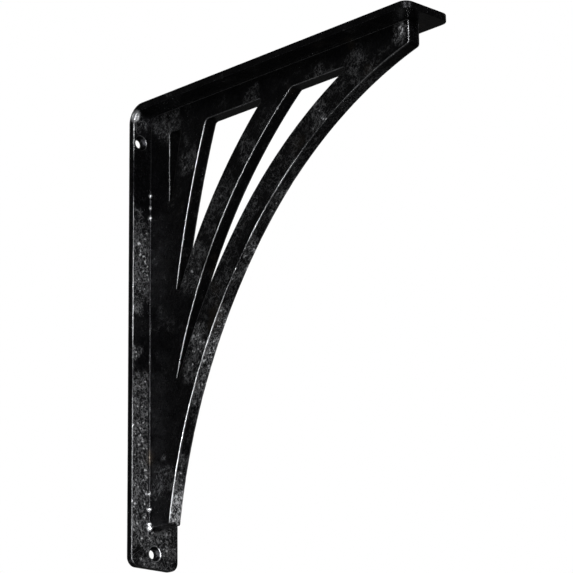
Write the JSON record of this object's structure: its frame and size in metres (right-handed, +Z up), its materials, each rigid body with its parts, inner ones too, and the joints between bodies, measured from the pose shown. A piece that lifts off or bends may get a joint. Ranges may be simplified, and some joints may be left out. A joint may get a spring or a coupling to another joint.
{
  "type": "wrought iron shelf bracket",
  "caption": "Wall bracket of a flat bar bent to an L, with a plate brace in its angle cut as a fan of curved struts under a concave arch.",
  "frame": {"origin": "on the wall face of the wall leg, at its middle across and halfway up the leg", "axes": "+X out from the wall under the shelf, +Y across the bar, +Z up"},
  "size_m": [0.3302, 0.0508, 0.4],
  "materials": {
    "bar_iron": "blackened and waxed, half glossy, with rubbed silvery mottling",
    "brace_iron": "blackened and waxed, half glossy, with rubbed silvery mottling and drawn-out scratches"
  },
  "bodies": {
    "root": {"mounting_bar": "bar_iron", "centre_brace": "brace_iron"}
  },
  "joints": []
}
